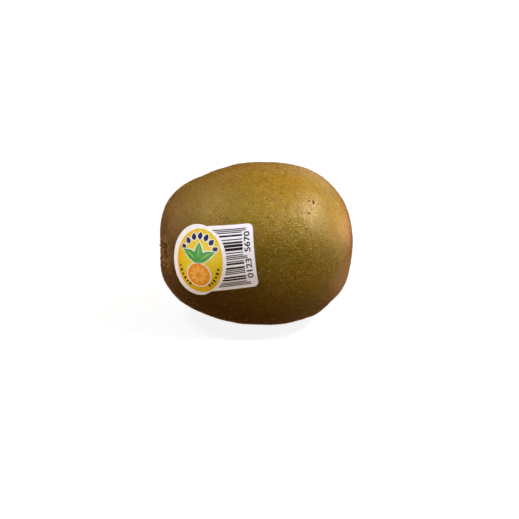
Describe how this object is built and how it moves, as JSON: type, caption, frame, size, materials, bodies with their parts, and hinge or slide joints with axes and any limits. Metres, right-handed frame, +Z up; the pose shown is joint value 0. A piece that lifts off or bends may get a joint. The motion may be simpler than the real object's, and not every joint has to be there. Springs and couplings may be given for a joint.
{
  "type": "golden kiwi fruit",
  "caption": "Whole golden kiwi fruit lying on its side, with a stem scar, dried blossom stubs and a thin printed paper label.",
  "frame": {"origin": "on the surface that the fruit rests on, under the middle of its bounding box", "axes": "+X along the fruit to its stem end, -X to its blossom end, -Y out through the label, +Z up"},
  "size_m": [0.0688, 0.0604, 0.0577],
  "materials": {
    "fruit_skin": "matt olive-gold skin with fine down, and dark brown dried scars at both ends",
    "label_paper": "white coated paper with a yellow ellipse and black bars"
  },
  "bodies": {
    "root": {"kiwi_fruit": "fruit_skin", "label": "label_paper"}
  },
  "joints": []
}
